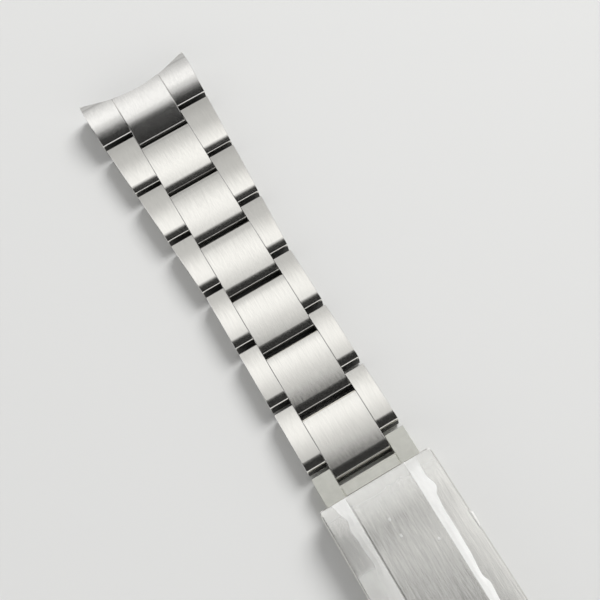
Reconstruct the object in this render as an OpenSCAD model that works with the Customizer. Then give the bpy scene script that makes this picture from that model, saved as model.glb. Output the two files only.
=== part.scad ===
// Three-strip steel link bracelet for a watch with 20 mm lugs, laid out straight with its clasp closed.
// X runs along the bracelet, Y across it and Z up from the surface it rests on.
// Half A, with six rows, lies towards -X and half B, with four rows, towards +X.
// Each half is drawn in its own lay coordinates: u = 0 is the line where its first row's outer links begin,
// u grows towards the clasp, and half B is the mirror image of that frame.

/* [End link] */
// Width between the watch's lugs, filled by the end link
lug_w = 20; // [18:1:22]
// Play left between the end link and each lug
lug_play = 0.03; // [0.02:0.01:0.1]
// Length from the first hinge gap to the middle of the case side
end_len = 7.3; // [7:0.1:8.5]
// Radius of the watch case that the end link follows
case_r = 19.9; // [18:0.1:22]
// Height of the outer strips' crest
end_outer_h = 4.8; // [4.5:0.1:5]
// Radius of the crown over the outer strips
end_outer_top_r = 27; // [20:1:36]
// Distance of that crown's crest from the first hinge gap
end_outer_crest = 9.2; // [8.4:0.1:9.6]
// Radius at which the outer strips roll down to the case side
end_outer_front_r = 3.2; // [2.5:0.1:4]
// Distance of that roll's start from the first hinge gap
end_outer_front = 7.9; // [7.5:0.1:8.3]
// Radius at which the outer strips roll down to the first row
end_outer_rear_r = 7.5; // [5:0.5:12]
// Slope that this roll reaches, in degrees
end_outer_rear_slope = 32; // [24:1:40]
// Height of the centre strip's crest
end_centre_h = 4.9; // [4.6:0.1:5.2]
// Radius of the crown over the centre strip
end_centre_top_r = 36; // [28:1:44]
// Distance of that crown's crest from the first hinge gap
end_centre_crest = 9.7; // [9:0.1:10.5]
// Radius at which the centre strip rolls down to the first row
end_centre_rear_r = 20; // [12:1:28]
// Slope that this roll reaches, in degrees
end_centre_rear_slope = 24; // [18:1:30]
// Height of the relief under the case side
end_relief_h = 1.0; // [0.6:0.1:1.4]
// How far each side of the end link draws in towards the first row
end_taper = 0.3; // [0.1:0.05:0.5]

/* [Rows] */
// Length of one row, from hinge to hinge
pitch = 10.9; // [10:0.1:12]
// Thickness of a link at its crest
link_h = 3.5; // [3.3:0.1:4]
// Width of the centre links
centre_w = 8.8; // [8:0.1:9.6]
// How far each side of the first row starts inside the lugs
first_step = 0.4; // [0.3:0.05:1]
// Width over the outer links near the clasp
last_w = 15; // [14.4:0.1:16]
// Rows over which the width runs down
taper_rows = 3; // [2:1:4]
// How far a centre link sits behind its outer links
stagger = 2.8; // [2.6:0.1:3.4]
// Gap between outer links that follow each other
outer_gap = 0.9; // [0.7:0.05:1.1]
// Gap between centre links that follow each other
centre_gap = 0.8; // [0.6:0.05:0.9]
// Side play between a centre link and the outer links
seam = 0.06; // [0.04:0.01:0.1]
// Radius of the lengthwise crown on a link's top
crown_r = 44; // [40:1:80]
// Place of the crown's crest, from an outer link's front end
outer_crest_l = 4.5; // [3:0.1:5]
// Place of the crown's crest, from a centre link's front end
centre_crest_l = 1.8; // [1.5:0.1:4]
// Radius at which an outer link's top rolls down to its rear edge
outer_rear_r = 2.2; // [1.5:0.1:4]
// Slope that this roll reaches, in degrees
outer_rear_slope = 28; // [20:1:34]
// Radius at which a centre link's top rolls down to its rear edge
centre_rear_r = 4; // [2:0.5:6]
// Slope that this roll reaches, in degrees
centre_rear_slope = 22; // [16:1:28]
// Bevel on the front edge of a centre link
front_bevel = 0.3; // [0.1:0.05:0.4]
// Rounding of the lower front edge
under_round_r = 0.9; // [0.5:0.05:1]

/* [Pins] */
// Diameter of hinge screws and pins
pin_d = 1.1; // [0.9:0.05:1.2]
// Radial play of a link on its pin
pin_play = 0.04; // [0.02:0.01:0.08]
// Diameter of a screw's head
head_d = 1.6; // [1.4:0.05:1.7]
// Length of a screw's head
head_l = 0.7; // [0.5:0.05:0.9]
// Depth of the head below the link's side
head_sink = 0.15; // [0.05:0.05:0.3]
// Width of the screw slot
slot_w = 0.35; // [0.25:0.05:0.45]
// Depth of the screw slot
slot_depth = 0.35; // [0.2:0.05:0.5]
// Depth to which a pin enters the outer links
pin_bite = 2; // [1.5:0.1:2.5]
// Depth of a clasp pin's ends below the faces it is pressed into
pin_recess = 0.2; // [0.1:0.05:0.3]

/* [Spring-bar bore] */
// Diameter of the bore that takes the watch's spring bar
bar_bore_d = 1.9; // [1.7:0.05:2.1]
// Distance of the bore from the middle of the case side
bar_from_case = 3.2; // [2.8:0.1:3.6]
// Height of the bore
bar_z = 2.1; // [1.8:0.1:2.4]

/* [Clasp cover] */
// Length of the cover
cover_len = 38; // [36:0.5:42]
// Width of the cover
cover_w = 17.8; // [17:0.1:18.5]
// Height of the cover at its ends
cover_end_h = 4.9; // [4.8:0.1:5.4]
// Rise of the cover's arch between its ends
cover_rise = 0.3; // [0.2:0.05:1]
// Thickness of the cover's top
cover_t = 0.8; // [0.6:0.05:0.9]
// Thickness of the cover's sides
cover_side = 0.9; // [0.7:0.05:1]
// Radius of the cover's corners
cover_corner = 0.9; // [0.5:0.1:1.5]
// Width of the cover's centre strip
strip_w = 9.2; // [8.4:0.1:9.8]
// Width of the grooves beside the centre strip
groove_w = 0.25; // [0.15:0.05:0.4]
// Depth of the grooves
groove_depth = 0.25; // [0.15:0.05:0.35]
// How far the side strips lie below the centre strip
strip_drop = 0.12; // [0.05:0.01:0.2]
// Gap between the slide's full-height part and the inner rails
rail_gap = 0.3; // [0.2:0.05:0.6]
// Width of the inner rails that carry the slide
rail_w = 0.6; // [0.4:0.05:0.8]
// Height of the rails' underside
rail_z = 1.9; // [1.6:0.1:2.1]
// Thickness of the rails
rail_t = 0.65; // [0.5:0.05:0.7]
// Thickness of the protective film
film_t = 0.08; // [0.05:0.01:0.12]
// Margin of the film from the cover's edges
film_margin = 0.25; // [0.1:0.05:0.5]

/* [Slide] */
// Length of slide that shows before the cover
neck = 4.8; // [4.3:0.1:7]
// Height of the part that shows
slide_h = 3.2; // [3:0.1:3.4]
// Length of the full-height part inside the cover
block_in = 2.2; // [1.5:0.1:2.6]
// Length of the thin plate inside the cover
plate_in = 15; // [13:0.5:17]
// Thickness of the thin plate
plate_t = 1.3; // [1:0.1:1.35]
// Side play of the slide in the cover
slide_play = 0.15; // [0.1:0.01:0.3]
// Width of the engraved seams on the slide
seam_w = 0.12; // [0.08:0.01:0.2]

/* [Fold blades] */
// Thickness of a blade
blade_t = 1; // [0.8:0.1:1]
// Width of the blades
blade_w = 10.8; // [9:0.1:11]
// Width of the upper blade's knuckle at the fold
knuckle_w = 6.8; // [5:0.1:7]
// Play between knuckles
knuckle_play = 0.1; // [0.05:0.01:0.2]
// Radius of the knuckles at the fold
fold_r = 1.2; // [1.1:0.05:1.2]
// Distance from the cover's mouth to the fold pin
fold_in = 5.1; // [4.8:0.1:7]
// Radius of the knuckle at the cover's far end
far_r = 1; // [0.9:0.05:1.1]
// Distance from the cover's far end to its hinge pin
far_in = 1.6; // [1.5:0.1:2]
// Radius of the cover's bosses round its hinge pin
boss_r = 1.1; // [1:0.05:1.2]
// Height of the cover's hinge pin
far_z = 2.4; // [2.35:0.05:2.5]
// Height of the lower blade above the surface
blade_z = 0.1; // [0.05:0.05:0.2]
// Gap between the two blades
blade_gap = 0.2; // [0.15:0.05:0.3]
// Gap between a blade's edge and the other blade's knuckles
fold_gap = 0.3; // [0.2:0.05:0.5]
// Gap between the lower blade's end block and the cover
block_gap = 0.3; // [0.2:0.05:0.5]
// Distance from the fold pin to the slot in the upper blade
slot_in = 5.2; // [4:0.2:8]
// Length of the slot in the upper blade
blade_slot_l = 14; // [10:0.5:16]
// Width of the slot in the upper blade
blade_slot_w = 2.9; // [2.8:0.1:3.6]
// Diameter of the snap stud
stud_d = 2.6; // [2:0.1:2.6]
// Diameter of the stud's shank in the lower blade
stud_shank_d = 1.3; // [1:0.1:1.6]
// Height of the snap stud above the lower blade
stud_h = 1.1; // [0.8:0.1:1.2]

/* [Hidden] */

$fn = 48;

// Rows in each half, as the list of nodes has them
rows_a = 6;
rows_b = 4;

// Lay coordinates of the clasp, on half A's u axis
mouth_a = rows_a * pitch;
cover_u = mouth_a + neck;
cover_end_u = cover_u + cover_len;
mouth_b = rows_b * pitch;
span = cover_end_u + neck + mouth_b;

// Hinges lie in the middle of the overlap of a centre link and the next row's outer links
pin_r = pin_d / 2;
pin_u = (stagger - centre_gap) / 2;
pin_z = link_h / 2;
cross_u = (stagger + pitch - outer_gap) / 2;
half_c = centre_w / 2;
outer_in = half_c + seam;
first_w = lug_w - 2 * first_step;

// How far cutters reach past a face, and how far solids of one piece run into each other
margin = 2;
weld = 0.1;

// Clasp levels
cover_inner = cover_w / 2 - cover_side;
arch_r = (pow(cover_len / 2, 2) + pow(cover_rise, 2)) / (2 * cover_rise);
arch_u = cover_u + cover_len / 2;
arch_z = cover_end_h + cover_rise - arch_r;
rail_u = cover_u + block_in + rail_gap;
rail_top = rail_z + rail_t;
plate_z = rail_top + slide_play;
slide_half = cover_inner - slide_play;
lower_top = blade_z + blade_t;
upper_z = lower_top + blade_gap;
fold_z = blade_z + fold_r;
fold_u = cover_u + fold_in;
far_u = cover_end_u - far_in;
half_blade = blade_w / 2;
half_knuckle = knuckle_w / 2;
root_clear = fold_r + fold_gap;
slot_u = fold_u + slot_in;
stud_u = slot_u + blade_slot_l / 2;

// Width over the outer links at gap k
function row_w(k) = max(last_w, first_w - k * (first_w - last_w) / taper_rows);

// Half width over the outer links of row k at lay coordinate u
function side_y(k, u) = (row_w(k - 1) + (row_w(k) - row_w(k - 1)) * (u / pitch - k + 1)) / 2;

// Half width of the end link at lay coordinate u
end_half = lug_w / 2 - lug_play;
function end_side_y(u) = end_half + (lug_w / 2 - end_taper - end_half) * (u + end_len) / end_len;

// Spring-bar bore
bar_u = -end_len + bar_from_case;

// The two halves' own frames
module half_a() {
    translate([-span / 2, 0, 0]) children();
}
module half_b() {
    mirror([1, 0, 0]) half_a() children();
}

// A side view (u, z) drawn out across the bracelet, from y0 to y1
module across(y0, y1) {
    translate([0, y1, 0]) rotate([90, 0, 0]) linear_extrude(y1 - y0) children();
}

// A round bar or bore across the bracelet
module cross_bar(r, y0, y1) {
    translate([0, y0, 0]) rotate([-90, 0, 0]) cylinder(h = y1 - y0, r = r);
}

// What a corner rounding removes: all outside the circle of radius r at (u, z) between two directions
module beyond_round(u, z, r, from_deg, to_deg) {
    far = 3 * r;
    mid = (from_deg + to_deg) / 2;
    difference() {
        polygon([
            [u, z],
            [u + far * cos(from_deg), z + far * sin(from_deg)],
            [u + 2 * far * cos(mid), z + 2 * far * sin(mid)],
            [u + far * cos(to_deg), z + far * sin(to_deg)]
        ]);
        translate([u, z]) circle(r);
    }
}

// Side view of a link from u0 to u1 with a crowned top of radius top_r and its crest at (cu, cz).
// The top rolls down at radius rear_r to the slope rear_slope at the rear edge, whose lower end is rounded.
module link_side(u0, u1, top_r, cu, cz, rear_r, rear_slope) {
    round_u = u1 - rear_r * sin(rear_slope);
    top_z = cz - top_r;
    round_z = top_z + sqrt(pow(top_r - rear_r, 2) - pow(round_u - cu, 2));
    lean = asin((round_u - cu) / (top_r - rear_r));
    difference() {
        intersection() {
            translate([u0, 0]) square([u1 - u0, cz + margin]);
            translate([cu, top_z]) circle(top_r, $fn = 360);
        }
        beyond_round(round_u, round_z, rear_r, 90 - rear_slope, 90 - lean);
        beyond_round(u1 - under_round_r, under_round_r, under_round_r, -90, 0);
    }
}

// Outer link of row k on side s (-1 left, 1 right)
module outer_link(k, s) {
    u0 = (k - 1) * pitch;
    u1 = k * pitch - outer_gap;
    head_y = side_y(k, u0 + pin_u) - head_sink - head_l;
    color([0.78, 0.77, 0.74])
    difference() {
        intersection() {
            across(s < 0 ? -lug_w : outer_in, s < 0 ? -outer_in : lug_w) difference() {
                link_side(u0, u1, crown_r, u0 + outer_crest_l, link_h, outer_rear_r, outer_rear_slope);
                beyond_round(u0 + under_round_r, under_round_r, under_round_r, 180, 270);
            }
            linear_extrude(link_h + margin) polygon([
                [u0, 0],
                [u1, 0],
                [u1, s * side_y(k, u1)],
                [u0, s * side_y(k, u0)]
            ]);
        }
        translate([u0 + pin_u, 0, pin_z]) {
            if (s > 0) {
                cross_bar(pin_r, outer_in - margin, lug_w);
                cross_bar(head_d / 2, head_y, lug_w);
            } else {
                cross_bar(pin_r, -outer_in - pin_bite, -outer_in + margin);
            }
        }
        translate([u0 + cross_u, 0, pin_z]) {
            if (s > 0) cross_bar(pin_r, outer_in - margin, outer_in + pin_bite);
            else cross_bar(pin_r, -outer_in - pin_bite, -outer_in + margin);
        }
    }
}

// Centre link of row k
module centre_link(k) {
    u0 = (k - 1) * pitch + stagger;
    u1 = k * pitch + stagger - centre_gap;
    color([0.8, 0.79, 0.76])
    difference() {
        across(-half_c, half_c) difference() {
            link_side(u0, u1, crown_r, u0 + centre_crest_l, link_h, centre_rear_r, centre_rear_slope);
            translate([u0, link_h]) rotate(45) square(front_bevel * sqrt(2), center = true);
            beyond_round(u0 + under_round_r, under_round_r, under_round_r, 180, 270);
        }
        translate([k * pitch + pin_u, 0, pin_z]) cross_bar(pin_r + pin_play, -lug_w, lug_w);
        translate([(k - 1) * pitch + cross_u, 0, pin_z]) cross_bar(pin_r, -lug_w, lug_w);
    }
}

// Hinge screw of row k, through the centre link before it, and the blind cross pin that holds row k together
module link_pins(k) {
    hinge_u = (k - 1) * pitch + pin_u;
    head_top = side_y(k, hinge_u) - head_sink;
    color([0.7, 0.7, 0.69]) {
        translate([hinge_u, 0, pin_z]) difference() {
            union() {
                cross_bar(pin_r, -outer_in - pin_bite, head_top - head_l / 2 - slot_depth / 2);
                cross_bar(head_d / 2, head_top - head_l, head_top);
            }
            translate([-head_d, head_top - slot_depth, -slot_w / 2]) cube([2 * head_d, margin, slot_w]);
        }
        translate([(k - 1) * pitch + cross_u, 0, pin_z])
            cross_bar(pin_r, -outer_in - pin_bite, outer_in + pin_bite);
    }
}

// Curved end link, one solid with a centre tongue that the first row's hinge screw passes through
module end_link() {
    outer_end = -outer_gap;
    tongue_end = stagger - centre_gap;
    front = -end_len - case_r + sqrt(pow(case_r, 2) - pow(end_half, 2)) - margin;
    roll_deg = asin((end_outer_crest - end_outer_front) / end_outer_top_r);
    roll_r = end_outer_top_r - end_outer_front_r;
    color([0.79, 0.78, 0.75])
    difference() {
        union() {
            intersection() {
                across(-lug_w, lug_w) difference() {
                    link_side(front, outer_end, end_outer_top_r, -end_outer_crest, end_outer_h,
                        end_outer_rear_r, end_outer_rear_slope);
                    beyond_round(-end_outer_crest + roll_r * sin(roll_deg),
                        end_outer_h - end_outer_top_r + roll_r * cos(roll_deg),
                        end_outer_front_r, 90 - roll_deg, 170);
                }
                linear_extrude(end_outer_h + margin) polygon([
                    [front, -end_half],
                    [-end_len, -end_half],
                    [outer_end, -end_side_y(outer_end)],
                    [outer_end, end_side_y(outer_end)],
                    [-end_len, end_half],
                    [front, end_half]
                ]);
            }
            across(-half_c, half_c)
                link_side(front, tongue_end, end_centre_top_r, -end_centre_crest, end_centre_h,
                    end_centre_rear_r, end_centre_rear_slope);
        }
        translate([-end_len - case_r, 0, -margin])
            cylinder(h = end_centre_h + 3 * margin, r = case_r, $fn = 180);
        across(-lug_w, lug_w) polygon([
            [bar_u, 0],
            [front - margin, end_relief_h],
            [front - margin, -margin],
            [bar_u, -margin]
        ]);
        translate([bar_u, 0, bar_z]) cross_bar(bar_bore_d / 2, -lug_w, lug_w);
        translate([pin_u, 0, pin_z]) cross_bar(pin_r + pin_play, -lug_w, lug_w);
    }
}

// Block with ears that holds the last row, in its half's lay frame, from u = mouth to mouth + length
module ear_block(mouth, length, height, width) {
    difference() {
        across(-width / 2, width / 2) difference() {
            translate([mouth, 0]) square([length, height]);
            beyond_round(mouth + under_round_r, under_round_r, under_round_r, 180, 270);
        }
        translate([mouth - margin, -outer_in, -margin])
            cube([stagger + margin, 2 * outer_in, height + 2 * margin]);
        translate([mouth + stagger, 0, height]) rotate([0, 45, 0])
            cube([front_bevel * sqrt(2), 2 * half_c, front_bevel * sqrt(2)], center = true);
        for (s = [-1, 1]) {
            translate([mouth + stagger - seam_w, s * outer_in - seam_w / 2, height - seam_w])
                cube([length, seam_w, margin]);
        }
        translate([mouth + pin_u, 0, pin_z]) cross_bar(pin_r, -outer_in - pin_bite, outer_in + pin_bite);
    }
}

// Pin through an ear block and the last centre link's end
module ear_pin(mouth) {
    color([0.7, 0.7, 0.69])
    translate([mouth + pin_u, 0, pin_z]) cross_bar(pin_r, -outer_in - pin_bite, outer_in + pin_bite);
}

// Matte slide that carries half A in the cover
module adjusting_slide() {
    color([0.66, 0.65, 0.62]) {
        ear_block(mouth_a, neck + block_in, slide_h, last_w);
        translate([cover_u + block_in - weld, -slide_half, plate_z])
            cube([plate_in, 2 * slide_half, plate_t]);
    }
}

// Side view of a band that follows the cover's arch, from level low to level high above the centre strip
module arch_band(low, high) {
    translate([arch_u, arch_z]) difference() {
        circle(arch_r + high, $fn = 720);
        circle(arch_r + low, $fn = 720);
    }
}

// Plan of the cover with round corners
module cover_plan(inset) {
    r = cover_corner;
    x0 = cover_u + inset;
    x1 = cover_end_u - inset;
    y1 = cover_w / 2 - inset;
    translate([x0 + r, -y1]) square([x1 - x0 - 2 * r, 2 * y1]);
    translate([x0, -y1 + r]) square([x1 - x0, 2 * y1 - 2 * r]);
    for (x = [x0 + r, x1 - r], y = [-y1 + r, y1 - r]) translate([x, y]) circle(r);
}

// Clasp cover: arched top with three strips, side walls, rails for the slide and bosses for its hinge pin
module clasp_cover() {
    color([0.76, 0.75, 0.73])
    difference() {
        union() {
            difference() {
                intersection() {
                    linear_extrude(cover_end_h + cover_rise + margin) cover_plan(0);
                    across(-cover_w, cover_w) intersection() {
                        translate([cover_u - margin, 0])
                            square([cover_len + 2 * margin, cover_end_h + cover_rise + margin]);
                        translate([arch_u, arch_z]) circle(arch_r, $fn = 720);
                    }
                }
                across(-cover_inner, cover_inner) intersection() {
                    translate([cover_u - margin, -margin])
                        square([cover_len + 2 * margin, cover_end_h + cover_rise + margin]);
                    translate([arch_u, arch_z]) circle(arch_r - cover_t, $fn = 720);
                }
            }
            for (s = [-1, 1]) {
                translate([rail_u, s > 0 ? cover_inner - rail_w : -cover_inner - weld, rail_z])
                    cube([plate_in, rail_w + weld, rail_t]);
                translate([far_u, 0, far_z])
                    cross_bar(boss_r, s > 0 ? half_blade + knuckle_play : -cover_inner - weld,
                        s > 0 ? cover_inner + weld : -half_blade - knuckle_play);
            }
        }
        for (s = [-1, 1]) {
            across(s > 0 ? strip_w / 2 : -cover_w, s > 0 ? cover_w : -strip_w / 2)
                arch_band(-strip_drop, margin);
            across(s * (strip_w + groove_w) / 2 - groove_w / 2, s * (strip_w + groove_w) / 2 + groove_w / 2)
                arch_band(-strip_drop - groove_depth, margin);
        }
        translate([far_u, 0, far_z]) cross_bar(pin_r, -cover_w / 2 + pin_recess, cover_w / 2 - pin_recess);
    }
}

// Clear film over the cover's top
module cover_film() {
    color([0.85, 0.88, 0.9, 0.4])
    intersection() {
        linear_extrude(cover_end_h + cover_rise + margin) cover_plan(film_margin);
        across(-cover_w, cover_w) intersection() {
            translate([cover_u, cover_end_h - margin]) square([cover_len, cover_rise + 2 * margin]);
            arch_band(0, film_t);
        }
    }
}

// Pin between the cover and the upper blade
module cover_hinge_pin() {
    color([0.7, 0.7, 0.69])
    translate([far_u, 0, far_z]) cross_bar(pin_r, -cover_w / 2 + pin_recess, cover_w / 2 - pin_recess);
}

// Upper blade, from the fold pin to the cover's hinge pin
module upper_blade() {
    color([0.72, 0.72, 0.7])
    difference() {
        union() {
            translate([fold_u + root_clear, -half_blade, upper_z])
                cube([far_u - fold_u - root_clear, blade_w, blade_t]);
            translate([fold_u, -half_knuckle, upper_z])
                cube([root_clear + weld, knuckle_w, blade_t]);
            translate([fold_u, 0, fold_z]) cross_bar(fold_r, -half_knuckle, half_knuckle);
            translate([far_u, 0, far_z]) cross_bar(far_r, -half_blade, half_blade);
        }
        translate([slot_u, -blade_slot_w / 2, upper_z - margin])
            cube([blade_slot_l, blade_slot_w, blade_t + 2 * margin]);
        translate([fold_u, 0, fold_z]) cross_bar(pin_r + pin_play, -lug_w, lug_w);
        translate([far_u, 0, far_z]) cross_bar(pin_r + pin_play, -lug_w, lug_w);
    }
}

// Pin between the two blades
module fold_hinge_pin() {
    color([0.7, 0.7, 0.69])
    translate([fold_u, 0, fold_z]) cross_bar(pin_r, -half_blade + pin_recess, half_blade - pin_recess);
}

// Lower blade, from the fold pin to the block with ears that holds half B
module lower_blade() {
    color([0.7, 0.7, 0.68])
    difference() {
        union() {
            translate([fold_u + root_clear, -half_blade, blade_z])
                cube([cover_end_u + block_gap + weld - fold_u - root_clear, blade_w, blade_t]);
            for (s = [-1, 1]) {
                y0 = s > 0 ? half_knuckle + knuckle_play : -half_blade;
                y1 = s > 0 ? half_blade : -half_knuckle - knuckle_play;
                translate([fold_u, y0, blade_z]) cube([root_clear + weld, y1 - y0, blade_t]);
                translate([fold_u, 0, fold_z]) cross_bar(fold_r, y0, y1);
            }
            translate([span, 0, 0]) mirror([1, 0, 0]) ear_block(mouth_b, neck - block_gap, slide_h, last_w);
        }
        translate([fold_u, 0, fold_z]) cross_bar(pin_r, -half_blade + pin_recess, half_blade - pin_recess);
        translate([stud_u, 0, blade_z - margin])
            cylinder(h = blade_t + 2 * margin, r = stud_shank_d / 2);
    }
}

// Stud on the lower blade that snaps into the upper blade's slot
module snap_stud() {
    color([0.74, 0.74, 0.72])
    translate([stud_u, 0, 0]) {
        translate([0, 0, blade_z]) cylinder(h = blade_t, r = stud_shank_d / 2);
        translate([0, 0, lower_top]) cylinder(h = stud_h, r = stud_d / 2);
    }
}

half_a() end_link();  // end_link_a
half_a() outer_link(1, -1);  // outer_link_left_a1
half_a() outer_link(1, 1);  // outer_link_right_a1
half_a() centre_link(1);  // centre_link_a1
half_a() link_pins(1);  // link_pins_a1
half_a() outer_link(2, -1);  // outer_link_left_a2
half_a() outer_link(2, 1);  // outer_link_right_a2
half_a() centre_link(2);  // centre_link_a2
half_a() link_pins(2);  // link_pins_a2
half_a() outer_link(3, -1);  // outer_link_left_a3
half_a() outer_link(3, 1);  // outer_link_right_a3
half_a() centre_link(3);  // centre_link_a3
half_a() link_pins(3);  // link_pins_a3
half_a() outer_link(4, -1);  // outer_link_left_a4
half_a() outer_link(4, 1);  // outer_link_right_a4
half_a() centre_link(4);  // centre_link_a4
half_a() link_pins(4);  // link_pins_a4
half_a() outer_link(5, -1);  // outer_link_left_a5
half_a() outer_link(5, 1);  // outer_link_right_a5
half_a() centre_link(5);  // centre_link_a5
half_a() link_pins(5);  // link_pins_a5
half_a() outer_link(6, -1);  // outer_link_left_a6
half_a() outer_link(6, 1);  // outer_link_right_a6
half_a() centre_link(6);  // centre_link_a6
half_a() link_pins(6);  // link_pins_a6
half_a() adjusting_slide();
half_a() ear_pin(mouth_a);  // slide_hinge_pin
half_a() clasp_cover();
half_a() cover_film();
half_a() cover_hinge_pin();
half_a() upper_blade();
half_a() fold_hinge_pin();
half_a() lower_blade();
half_a() snap_stud();
half_b() ear_pin(mouth_b);  // blade_end_pin
half_b() outer_link(4, -1);  // outer_link_left_b4
half_b() outer_link(4, 1);  // outer_link_right_b4
half_b() centre_link(4);  // centre_link_b4
half_b() link_pins(4);  // link_pins_b4
half_b() outer_link(3, -1);  // outer_link_left_b3
half_b() outer_link(3, 1);  // outer_link_right_b3
half_b() centre_link(3);  // centre_link_b3
half_b() link_pins(3);  // link_pins_b3
half_b() outer_link(2, -1);  // outer_link_left_b2
half_b() outer_link(2, 1);  // outer_link_right_b2
half_b() centre_link(2);  // centre_link_b2
half_b() link_pins(2);  // link_pins_b2
half_b() outer_link(1, -1);  // outer_link_left_b1
half_b() outer_link(1, 1);  // outer_link_right_b1
half_b() centre_link(1);  // centre_link_b1
half_b() link_pins(1);  // link_pins_b1
half_b() end_link();  // end_link_b
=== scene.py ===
import math

import bmesh
import bpy
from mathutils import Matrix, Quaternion, Vector


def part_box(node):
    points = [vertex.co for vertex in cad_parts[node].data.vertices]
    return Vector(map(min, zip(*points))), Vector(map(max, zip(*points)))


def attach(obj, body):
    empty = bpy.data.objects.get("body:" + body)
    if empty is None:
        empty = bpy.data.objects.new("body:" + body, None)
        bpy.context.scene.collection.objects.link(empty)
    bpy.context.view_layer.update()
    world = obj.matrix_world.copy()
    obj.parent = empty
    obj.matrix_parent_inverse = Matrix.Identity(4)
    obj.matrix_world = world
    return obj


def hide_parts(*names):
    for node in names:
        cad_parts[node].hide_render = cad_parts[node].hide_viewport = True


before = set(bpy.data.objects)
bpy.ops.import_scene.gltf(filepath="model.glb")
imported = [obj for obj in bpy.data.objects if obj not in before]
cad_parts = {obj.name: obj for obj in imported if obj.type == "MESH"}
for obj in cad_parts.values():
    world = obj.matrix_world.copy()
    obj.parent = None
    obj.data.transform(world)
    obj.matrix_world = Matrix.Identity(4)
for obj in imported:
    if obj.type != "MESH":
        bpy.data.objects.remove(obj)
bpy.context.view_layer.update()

# End links
# One solid steel block at each end of the bracelet, milled to fill the gap between the watch's lugs and to
# follow its round case. Its top is brushed lengthwise in three strips, and reads as a last row of links.

# Sizes are in millimetres, and MM turns them into metres. Places nearer than TINY count as the same.
MM = 0.001
TINY = 0.001
# The first row's front, the gaps behind outer and centre links, and how far the rear walls stand inside the
# solids' rear walls, because the gaps look that much wider in the photograph
ROW_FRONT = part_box("outer_link_left_a1")[0].x / MM
OUTER_GAP = 0.9
CENTRE_GAP = 0.8
REAR_SET = 0.2
# A pin's radius, its play in a hinge's bore, its height, and its distance behind a link's front
PIN_R = 0.55
PIN_PLAY = 0.04
PIN_HEIGHT = 1.75
HINGE_IN = 1.0
# How far a cut reaches past a piece, and how far two forms overlap where they are joined
OVERCUT = 1
OVERLAP = 0.1
# The watch's case, and the block from there to the first row, whose sides narrow by END_TAPER
CASE_R = 19.9
CASE_T = 20
CASE_MID_Z = 5
CASE_SIDES = 256
END_LENGTH = 7.3
END_TAPER = 0.3
END_SPARE = 2
END_EDGE = 0.07
# The outer strips' top and its roll down at the front, placed by their distances before the first row. Rolls
# are pairs of a radius and the slope in degrees at which it ends.
END_OUTER_H = 4.8
END_OUTER_CREST = 9.2
END_OUTER_CROWN_R = 27
END_OUTER_ROLLS = [(13, 21), (7, 30), (0.45, 90)]
END_FRONT_ROLL = 7.9
END_FRONT_ROLL_R = 3.2
END_TIP_TURN = 50
# The centre strip's top, in the same measures
END_CENTRE_H = 4.9
END_CENTRE_CREST = 9.7
END_CENTRE_CROWN_R = 36
END_CENTRE_ROLLS = [(10, 22), (60, 24.4), (1.1, 90)]
# The seams between the strips, and half the width of the core that closes them below
END_SEAM = 0.1
END_SEAM_DEPTH = 0.12
END_CORE = 5.5
# The slope under the front, the bore for the spring bar, and how far each bore reaches from the middle
RELIEF_RISE = 1.0
BAR_FROM_CASE = 3.2
BAR_HEIGHT = 2.1
BAR_BORE_R = 0.95
BAR_BORE_HALF = 12
HINGE_BORE_HALF = 6


def corners(node):
    low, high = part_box(node)
    return low / MM, high / MM


def only(piece):
    bpy.ops.object.select_all(action="DESELECT")
    piece.select_set(True)
    bpy.context.view_layer.objects.active = piece


def select_edges(piece, wanted):
    bpy.ops.mesh.select_all(action="DESELECT")
    mesh = bmesh.from_edit_mesh(piece.data)
    for edge in mesh.edges:
        if wanted(edge):
            edge.select_set(True)
    bmesh.update_edit_mesh(piece.data)


# A turn of more than CORNER_TURN degrees has a step for every CORNER_STEP, and a gentler one for every degree
CORNER_TURN = 60
CORNER_STEP = 9
LEAST_STEPS = 3


# A bar across the bracelet: a plane is its flat underside, and the plane's front edge is swept up, over the
# top and down to the rear edge. A path's steps are turns about (x, z) and straight runs, as a forming tool
# makes them.
def swept_bar(name, x0, x1, y0, y1, path, under_z=0):
    bpy.ops.object.select_all(action="DESELECT")
    bpy.ops.mesh.primitive_plane_add(size=1, location=((x0 + x1) / 2, (y0 + y1) / 2, under_z))
    bar = bpy.context.object
    bar.name = name
    bar.scale = (x1 - x0, y1 - y0, 1)
    bpy.ops.object.transform_apply(location=True, rotation=True, scale=True)
    bpy.ops.object.mode_set(mode="EDIT")
    bpy.ops.mesh.select_mode(type="EDGE")
    select_edges(bar, lambda edge: all(v.co.x < x0 + TINY for v in edge.verts))
    for kind, x, z, *angle in path:
        if kind == "turn":
            degrees, corner = angle[0], angle[0] > CORNER_TURN
            steps = round(degrees / CORNER_STEP) if corner else max(LEAST_STEPS, round(degrees))
            bpy.ops.mesh.spin(steps=steps, angle=math.radians(degrees), center=(x, 0, z), axis=(0, -1, 0))
        else:
            bpy.ops.mesh.extrude_edges_move(TRANSFORM_OT_translate={"value": (x, 0, z)})
    bpy.ops.mesh.select_all(action="SELECT")
    bpy.ops.mesh.remove_doubles(threshold=TINY)
    for side in (y0, y1):
        select_edges(bar, lambda edge: all(abs(v.co.y - side) < TINY for v in edge.verts))
        bpy.ops.mesh.edge_face_add()
    bpy.ops.mesh.select_all(action="SELECT")
    bpy.ops.mesh.normals_make_consistent(inside=False)
    bpy.ops.object.mode_set(mode="OBJECT")
    return bar


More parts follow.
